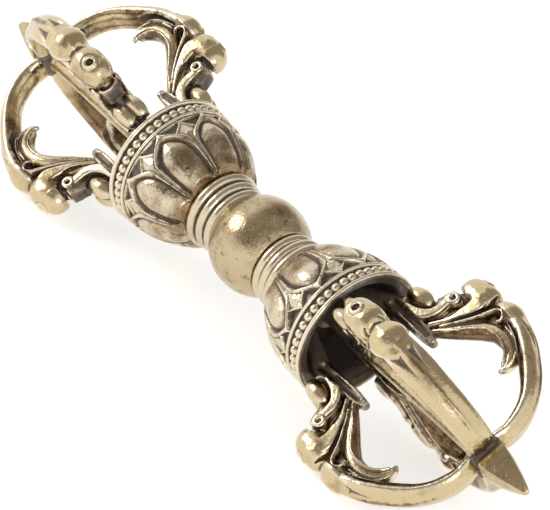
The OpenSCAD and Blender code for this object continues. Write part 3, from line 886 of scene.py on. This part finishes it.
def rim_rows():
    """Rings of the beaded rim and their facts: a fine line, a row of beads in a groove, and the plain lip."""
    sides = BEADS * BEAD_SIDES
    angle = (np.arange(sides) / sides * BEADS % 1 - 0.5) * 2 * math.pi / BEADS
    bed_x = np.linspace(*BED_X, BED_ROWS)[:, None]
    dome = BEAD_R ** 2 - (bed_x - BEAD_X) ** 2 - (angle[None, :] * BEAD_CENTRE_R) ** 2
    bead = np.maximum(BEAD_FOOT_R, BED_R + BEAD_RISE * np.sqrt(np.maximum(dome, 0)))
    bed_r = np.where(dome > 0, bead, BED_R)
    bed = np.stack([bed_x + 0 * bed_r, bed_r], axis=2)
    rows = np.concatenate([turned_rows(RIM_LINE, sides), bed, turned_rows(RIM_LIP, sides)])
    radius = rows[:, :, 1].copy()
    radius[0] = radius[1]
    radius[-BEVEL_ROWS - 2:] = LEVEL_R
    fine, wide = (gain * sunk(radius, reach) for gain, reach in (RIM_FINE, RIM_WIDE))
    # Painted shade on the lip's edge and, darker, on its bevel into the mouth
    lip_shade = np.zeros(radius.shape)
    lip_shade[-BEVEL_ROWS - 1] = EDGE_SHADE
    lip_shade[-BEVEL_ROWS:] = BEVEL_SHADE
    return rows, {"recess": fine.ravel(), "shade": wide.ravel(), "stain_and_shade": np.zeros(lip_shade.size),
                  "hollow": lip_shade.ravel()}


FINIAL = [[43.3, 1.5], [43.7, 1.78], [44.3, 1.96], [45.2, 1.82], [46.5, 1.48], [47.6, 1.13], [48.6, 0.79],
    [49.3, 0.52], [49.7, 0.34], [49.93, 0.16]]
FINIAL_STEPS = 5
SHAFT = [[11.5, 1.6], [12.98, 1.6], [13.02, 2.2], [13.95, 2.2], [14.05, 1.4], [20.0, 1.36], [30.0, 1.34],
    [39.5, 1.36], [41.2, 1.5], [41.45, 1.95], [42.2, 2.0], [43.0, 1.95], [43.2, 2.05]]
SHAFT_STEPS = 4
BLOCK_X = (41.3, 42.0)
CORNER_CUT = 1.33
FACE_SWELL = 0.05
FACE_SWELL_X = (43.4, 44.6, 48.0, 49.9)
# Painted shadow at the base of the finial, where it meets the ends of the horns, and round the block beneath
COLLAR_SHADE_X = 43.3
COLLAR_SHADE_W = 0.38
BLOCK_SHADE_X = (41.0, 41.6, 41.9, 43.0)
COLLAR_SHADE_RECESS = 0.5
COLLAR_WIDE_SHADE = 0.4
FINIAL_STAIN = 0.3
# Painted shade on the shaft where it runs inside the cup
SHAFT_SHADE_X = (19.5, 17.0)


def centre_rows():
    """Rings of the centre prong and their facts: pin, collar and round shaft, then the four-sided finial."""
    quarter = math.pi / 2
    angle = 2 * math.pi * np.arange(FINIAL_SIDES) / FINIAL_SIDES
    turn = (angle + quarter) % quarter - quarter / 2
    corner = np.minimum(1 / np.cos(turn), CORNER_CUT)
    rings = [(x, r * (1 + window(BLOCK_X, x) * (corner - 1))) for x, r in spline(SHAFT, SHAFT_STEPS)]
    rings += [(x, r * corner * (1 + FACE_SWELL * np.cos(4 * turn) * window(FACE_SWELL_X, x)))
              for x, r in spline(FINIAL, FINIAL_STEPS)]
    rows = np.array([np.stack([np.full(FINIAL_SIDES, x), radius], axis=1) for x, radius in rings])
    x = rows[:, :, 0]
    # painted shadow round the collar and the block
    collar_shade = np.clip(bell(x, COLLAR_SHADE_X, COLLAR_SHADE_W) + window(BLOCK_SHADE_X, x), 0, 1)
    # The shaft is painted with shade where it runs inside the cup
    facts = {"recess": COLLAR_SHADE_RECESS * collar_shade, "shade": COLLAR_WIDE_SHADE * collar_shade,
             "stain_and_shade": np.full(x.shape, FINIAL_STAIN), "hollow": window(SHAFT_SHADE_X, x)}
    poles = [0.0, 0.0]
    return rows, {key: np.append(value, poles) for key, value in facts.items()}


# Materials

class Graph:
    """A node tree, with short words for its usual nodes."""

    # Places of the colour sockets of a mix node
    MIX_COLOURS = slice(6, 8)
    MIX_RESULT = 2

    def __init__(self, tree):
        self.nodes, self.links = tree.nodes, tree.links

    def feed(self, socket, value):
        """Links an output to a socket, or sets the socket's own value."""
        if isinstance(value, bpy.types.NodeSocket):
            self.links.new(value, socket)
        else:
            socket.default_value = value

    def node(self, kind, **values):
        """A node with its settings and what its inputs take."""
        made = self.nodes.new(kind)
        for key, value in values.items():
            if hasattr(made, key):
                setattr(made, key, value)
            else:
                self.feed(made.inputs[key.replace("_", " ")], value)
        return made

    def calc(self, operation, *values, clamp=False):
        made = self.node("ShaderNodeMath", operation=operation, use_clamp=clamp)
        for socket, value in zip(made.inputs, values):
            self.feed(socket, value)
        return made.outputs[0]

    def plus(self, a, b, clamp=False):
        return self.calc("ADD", a, b, clamp=clamp)

    def times(self, a, b):
        return self.calc("MULTIPLY", a, b)

    def ramp(self, value, *stops):
        """A smooth rise between two stops of a value, from a first to a second level."""
        ends = dict(zip(("From_Min", "From_Max", "To_Min", "To_Max"), stops))
        made = self.node("ShaderNodeMapRange", clamp=True, interpolation_type="SMOOTHSTEP", Value=value, **ends)
        return made.outputs["Result"]

    def mix(self, share, *colours):
        made = self.node("ShaderNodeMix", data_type="RGBA", Factor=share)
        for socket, colour in zip(made.inputs[self.MIX_COLOURS], colours):
            self.feed(socket, colour + (1,) if isinstance(colour, tuple) else colour)
        return made.outputs[self.MIX_RESULT]


PALE_BRASS = (0.67, 0.58, 0.42)
GOLD_BRASS = (0.63, 0.51, 0.305)
HUB_BRASS = (0.55, 0.455, 0.285)
BRIGHT_EDGE = (0.82, 0.75, 0.6)
# Brown of real stains, also laid as painted shade in broad hollows and on the front of the jaw
STAIN_AND_SHADE = (0.28, 0.18, 0.095)
PIT = (0.14, 0.09, 0.05)
# Patina together with painted shade in the recesses; below it, the painted deep shade of the deepest hollows
PATINA_AND_SHADE = (0.155, 0.125, 0.112)
DEEP_SHADE = (0.065, 0.046, 0.042)
# Noises: waves to the millimetre, detail and roughness
CLOUD = (0.22, 4.0, 0.6)
GRAIN = (1.3, 5.0, 0.6)
SPECK = (4.0, 3.0, 0.6)
PATCHES = (1.7, 5.0, 0.7)
MOTTLE = (0.9, 6.0, 0.7)
CASTING = (4.6, 2.0, 0.6)
RIPPLE = (0.55, 2.0, 0.6)
NOISE_MEAN = 0.5
# Ramps: from and to, and mostly the levels there
PATINA_SHADE_RAMP = (0.0, 0.22, 0.0, 1.0)
PATCH_RAMP = (0.36, 0.56, 0.72, 1.0)
STAIN_SHADE_RAMP = (0.06, 0.66)
WEAR_RAMP = (-0.15, -0.55, 0.0, 0.8)
SPECK_RAMP = (0.62, 0.74)
MOTTLE_RAMP = (0.6, 0.72)
DEEP_SHADE_RAMP = (1.0, 2.0, 0.0, 1.0)
METAL_RAMP = (0.2, 1.0, 1.0, 0.4)
PIT_RAMP = (0.6, 0.72, 0.0, 1.0)
# Shares in what is enclosed, stained, rough and high
SHADE_SHARE = 0.9
WANDER = 0.5
STAIN_SHADE_SHARE = 0.9
CLOUD_SHARE = 2.2
SPECK_SHARE = 0.7
MOTTLE_STAIN_SHADE = 0.16
GRAIN_ROUGH = 0.12
STAIN_ROUGH = 0.1
PATINA_SHADE_ROUGH = 0.14
GRAIN_HEIGHT = 0.8
PIT_HEIGHT = 0.5
CASTING_HEIGHT = 0.36
BUMP_HEIGHT = 0.1


def brass(name, pale, patina, gloss, relief, wave, seed):
    """Antique brass: polished high places, patina and painted shade in recesses and hollows, stains with
    painted shade, pits and fine wear.
    """
    material = bpy.data.materials.new(name)
    material.use_nodes = True
    g = Graph(material.node_tree)
    g.nodes.clear()
    place = g.node("ShaderNodeTexCoord").outputs["Object"]

    def noise(scale, detail, rough):
        return g.node("ShaderNodeTexNoise", noise_dimensions="4D", Vector=place, W=seed, Scale=scale / MM,
                      Detail=detail, Roughness=rough).outputs["Fac"]

    recess, shade, stain_and_shade, hollow = (g.node("ShaderNodeAttribute", attribute_name=fact).outputs["Fac"]
                                    for fact in ("recess", "shade", "stain_and_shade", "hollow"))
    cloud, grain, speck = noise(*CLOUD), noise(*GRAIN), noise(*SPECK)
    enclosed = g.plus(recess, g.times(shade, SHADE_SHARE))
    wander = g.times(g.calc("SUBTRACT", grain, NOISE_MEAN), WANDER)
    # Darker in recesses and hollows: partly patina, partly painted shade
    patina_and_shade = g.ramp(g.plus(enclosed, wander), *PATINA_SHADE_RAMP)
    patina_and_shade = g.calc("MAXIMUM", patina_and_shade, g.calc("MINIMUM", hollow, 1.0))
    patina_and_shade = g.times(patina_and_shade, g.ramp(noise(*PATCHES), *PATCH_RAMP))
    # Brown from noise and from the stain fact, which holds both real stains and painted shade
    brown = g.times(g.calc("SUBTRACT", cloud, NOISE_MEAN), CLOUD_SHARE)
    brown = g.plus(g.times(stain_and_shade, STAIN_SHADE_SHARE), brown)
    brown = g.ramp(g.plus(brown, wander), *STAIN_SHADE_RAMP, 0.0, patina)
    mottle = g.plus(noise(*MOTTLE), g.times(stain_and_shade, MOTTLE_STAIN_SHADE))
    base = g.mix(brown, pale, STAIN_AND_SHADE)
    base = g.mix(g.ramp(enclosed, *WEAR_RAMP), base, BRIGHT_EDGE)
    base = g.mix(g.ramp(speck, *SPECK_RAMP, 0.0, SPECK_SHARE * patina), base, PIT)
    base = g.mix(g.ramp(mottle, *MOTTLE_RAMP, 0.0, patina), base, PIT)
    base = g.mix(patina_and_shade, base, PATINA_AND_SHADE)
    # Painted deep shade where the hollow fact passes 1: inside the bowl, on the lip's bevel and on the front of
    # the jaw
    base = g.mix(g.ramp(hollow, *DEEP_SHADE_RAMP), base, DEEP_SHADE)
    rough = g.plus(g.times(grain, GRAIN_ROUGH), gloss)
    rough = g.plus(rough, g.times(brown, STAIN_ROUGH))
    rough = g.plus(rough, g.times(patina_and_shade, PATINA_SHADE_ROUGH), clamp=True)
    pits = g.times(g.ramp(speck, *PIT_RAMP), PIT_HEIGHT)
    height = g.calc("SUBTRACT", g.times(grain, GRAIN_HEIGHT), pits)
    height = g.plus(height, g.times(noise(*CASTING), CASTING_HEIGHT))
    height = g.plus(height, g.times(noise(*RIPPLE), wave))
    bump = g.node("ShaderNodeBump", Strength=relief, Distance=BUMP_HEIGHT * MM, Height=height)
    shader = g.node("ShaderNodeBsdfPrincipled", Base_Color=base, Metallic=g.ramp(patina_and_shade, *METAL_RAMP),
                    Roughness=rough, Normal=bump.outputs["Normal"])
    g.node("ShaderNodeOutputMaterial", Surface=shader.outputs["BSDF"])
    return material


# Colour, patina, roughness, relief, ripple and noise seed of each material slot
FINISHES = {
    "hub_brass": (HUB_BRASS, 0.8, 0.08, 0.8, 0.45, 1.0),
    "ring_brass": (PALE_BRASS, 0.5, 0.1, 0.45, 1.6, 2.0),
    "cup_brass": (PALE_BRASS, 0.9, 0.08, 0.8, 2.6, 3.0),
    "rim_brass": (PALE_BRASS, 0.6, 0.12, 0.5, 1.6, 4.0),
    "prong_brass": (GOLD_BRASS, 0.9, 0.11, 0.5, 2.2, 5.0),
    "finial_brass": (GOLD_BRASS, 0.45, 0.16, 0.6, 3.6, 6.0),
    "core_brass": (PIT, 0.9, 0.35, 0.5, 1.6, 7.0),
}
MATERIALS = {slot: brass(slot, *finish) for slot, finish in FINISHES.items()}


# Pieces

PRONG_TURNS = {"front_top": 45, "front_bottom": 135, "back_top": 315, "back_bottom": 225}
HUB_RECESS = -0.08
HUB_STAIN = 0.26
RING_RECESS = 0.8
RING_RECESS_AT = (0.24, 0.6)
KEPT_NODES = ("core_rod", "left_prong_boss", "right_prong_boss")


def finish_piece(piece, node, slot):
    piece.data.materials.append(MATERIALS[slot])
    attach(piece, "root")
    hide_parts(node)


def place_pair(part, node, slot, points, faces, facts):
    """The same piece at both ends."""
    for side, placed in (("left", flipped(points)), ("right", points)):
        piece = make_mesh(f"{side.capitalize()}{part}", placed, faces, **facts)
        finish_piece(piece, f"{side}_{node}", slot)


def build_prongs():
    shape, faces, facts = prong_shape()
    upright = np.column_stack([shape[:, 0], -shape[:, 2], shape[:, 1]])
    ends = {"right": lambda degrees: rolled(upright, degrees),
            "left": lambda degrees: flipped(rolled(upright, -degrees))}
    for side, placed in ends.items():
        for name, degrees in PRONG_TURNS.items():
            piece = make_mesh(side.capitalize() + name, placed(degrees), faces, **facts)
            finish_piece(piece, f"{side}_prong_{name}", "prong_brass")


def build_hub():
    arc = np.linspace(-1, 1, HUB_ROWS)[:, None] * math.asin(HUB_FLAT / HUB_R)
    globe = np.hstack([HUB_R * np.sin(arc), HUB_R * np.cos(arc)])
    end = np.array([[HUB_FLAT, HUB_FLAT_R], [HUB_FLAT, BORE_R]])
    outline = np.vstack([end[::-1] * [-1, 1], globe, end])
    points, faces = rows_to_mesh(turned_rows(outline, TURN_SIDES))
    facts = turned_facts(outline, HUB_RECESS, HUB_STAIN)
    finish_piece(make_mesh("Hub", points, faces, **facts), "hub_sphere", "hub_brass")


def build_rings():
    arc = np.linspace(-math.pi / 2, math.pi / 2, RING_ROWS)
    half = RING_W / 2
    start = HUB_FLAT
    for name, radius in RING_RADII.items():
        bead = np.column_stack([start + half * (1 + np.sin(arc)), radius - half * (1 - np.cos(arc))])
        outline = np.vstack([[[start, BORE_R]], bead, [[start + RING_W, BORE_R]]])
        points, faces = rows_to_mesh(turned_rows(outline, TURN_SIDES))
        facts = turned_facts(outline, RING_RECESS * window(RING_RECESS_AT, radius - outline[:, 1]))
        place_pair(f"{name}ring", f"{name}_ring", "ring_brass", points, faces, facts)
        start += RING_W


def build_ends():
    ends = (("lotus_cup", "lotus_cup", "cup_brass", cup_rows(), False),
            ("bead_rim", "bead_rim", "rim_brass", rim_rows(), False),
            ("finial", "center_prong", "finial_brass", centre_rows(), True))
    for part, node, slot, (rows, facts), poles in ends:
        points, faces = rows_to_mesh(rows, poles)
        place_pair(part, node, slot, points, faces, facts)


build_prongs()
build_hub()
build_rings()
build_ends()
# The inner pieces kept from the part take the dark pit colour all over, as painted shade
for kept in KEPT_NODES:
    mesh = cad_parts[kept].data
    mesh.materials.clear()
    mesh.materials.append(MATERIALS["core_brass"])


# Camera

CAMERA_TURN = math.radians(42.733)
CAMERA_TILT = math.radians(35.935)
CAMERA_ROLL = math.radians(8.695)
CAMERA_OFFSET = np.array([-1.704, -1.071, 541.296])
CAMERA_CLIP = (0.01, 20.0)
FOCAL_PX = 4627.558
IMAGE_WIDTH_PX = 550
SENSOR_MM = 36.0


def add_camera():
    """The fitted camera: the part's long axis in the picture, then its roll about that axis."""
    u = np.array([math.cos(CAMERA_TURN) * math.cos(CAMERA_TILT),
                  math.sin(CAMERA_TURN) * math.cos(CAMERA_TILT), -math.sin(CAMERA_TILT)])
    toward = np.array([0, 0, -1.0])
    n = toward - (toward @ u) * u
    n /= np.linalg.norm(n)
    s = np.cross(u, n)
    front = math.cos(CAMERA_ROLL) * n - math.sin(CAMERA_ROLL) * s
    lower = math.cos(CAMERA_ROLL) * s + math.sin(CAMERA_ROLL) * n
    axes = np.array([u, -(front + lower) / math.sqrt(2), (front - lower) / math.sqrt(2)])
    right, down, forward = axes.T
    where = -axes @ CAMERA_OFFSET * MM
    data = bpy.data.cameras.new("Camera")
    data.sensor_width = SENSOR_MM
    data.lens = FOCAL_PX * SENSOR_MM / IMAGE_WIDTH_PX
    data.clip_start, data.clip_end = CAMERA_CLIP
    camera = bpy.data.objects.new("Camera", data)
    camera.matrix_world = Matrix(np.vstack([np.column_stack([right, -down, -forward, where]), [0, 0, 0, 1]]))
    bpy.context.scene.collection.objects.link(camera)
    bpy.context.scene.camera = camera


# Floor and light, in metres and watts

FLOOR_HALF = 3.0
FLOOR_PAINT = (0.8, 0.8, 0.8, 1)
FLOOR_GLOW = 0.57
# Where the walls and the low zone begin, by x and z of a direction
WALL_X = (0.42, 0.6)
LOW_Z = (0.44, 0.2)
WALL_LEVEL = 1.02
CEILING_LEVEL = 0.37
CEILING_TINT = (1.0, 0.87, 0.75)
WHITE = (1.0, 1.0, 1.0)
# Direction of each lamp from the part, its size and its power
LAMPS = {"Key": ((-0.73, -0.56, 0.42), 0.34, 1.35), "Fill": ((0.89, -0.39, 0.26), 0.26, 0.65)}
LAMP_DISTANCE = 0.7


def add_floor():
    """A pale floor that keeps the shadow. Its glow is seen by the camera and in reflections only."""
    half, z = FLOOR_HALF, cad_box[0][2]
    mesh = bpy.data.meshes.new("Floor")
    mesh.from_pydata([(-half, -half, z), (half, -half, z), (half, half, z), (-half, half, z)],
                     [], [(0, 1, 2, 3)])
    floor = bpy.data.objects.new("Floor", mesh)
    bpy.context.scene.collection.objects.link(floor)
    material = bpy.data.materials.new("pale_floor")
    material.use_nodes = True
    g = Graph(material.node_tree)
    g.nodes.clear()
    path = g.node("ShaderNodeLightPath").outputs
    seen = g.calc("MAXIMUM", path["Is Camera Ray"], path["Is Glossy Ray"])
    seen = g.calc("MAXIMUM", seen, path["Is Transmission Ray"])
    paint = g.node("ShaderNodeBsdfDiffuse", Color=FLOOR_PAINT)
    glow = g.node("ShaderNodeEmission", Strength=g.times(seen, FLOOR_GLOW))
    both = g.node("ShaderNodeAddShader")
    for socket, shader in zip(both.inputs, (paint, glow)):
        g.feed(socket, shader.outputs[0])
    g.node("ShaderNodeOutputMaterial", Surface=both.outputs[0])
    mesh.materials.append(material)


def add_world():
    """White walls at both ends, a bright low zone and a dim ceiling; white where the camera looks past."""
    world = bpy.data.worlds.new("Studio")
    bpy.context.scene.world = world
    world.use_nodes = True
    g = Graph(world.node_tree)
    way = g.node("ShaderNodeSeparateXYZ", Vector=g.node("ShaderNodeTexCoord").outputs["Generated"]).outputs
    wall = g.ramp(g.calc("ABSOLUTE", way["X"]), *WALL_X, CEILING_LEVEL, WALL_LEVEL)
    low = g.ramp(way["Z"], *LOW_Z, 0.0, WALL_LEVEL)
    looked_at = g.node("ShaderNodeLightPath").outputs["Is Camera Ray"]
    level = g.calc("MAXIMUM", g.calc("MAXIMUM", wall, low), looked_at)
    background = g.nodes["Background"]
    g.feed(background.inputs["Strength"], level)
    g.feed(background.inputs["Color"], g.mix(level, CEILING_TINT, WHITE))


def add_lamp(name, direction, size, watts):
    data = bpy.data.lights.new(name, "AREA")
    data.shape = "DISK"
    data.size = size
    data.energy = watts
    lamp = bpy.data.objects.new(name, data)
    way = Vector(direction).normalized()
    lamp.rotation_euler = way.to_track_quat("Z", "Y").to_euler()
    lamp.location = way * LAMP_DISTANCE
    bpy.context.scene.collection.objects.link(lamp)


add_camera()
add_floor()
add_world()
for lamp_name, lamp_facts in LAMPS.items():
    add_lamp(lamp_name, *lamp_facts)

bpy.context.scene.view_settings.view_transform = "Standard"
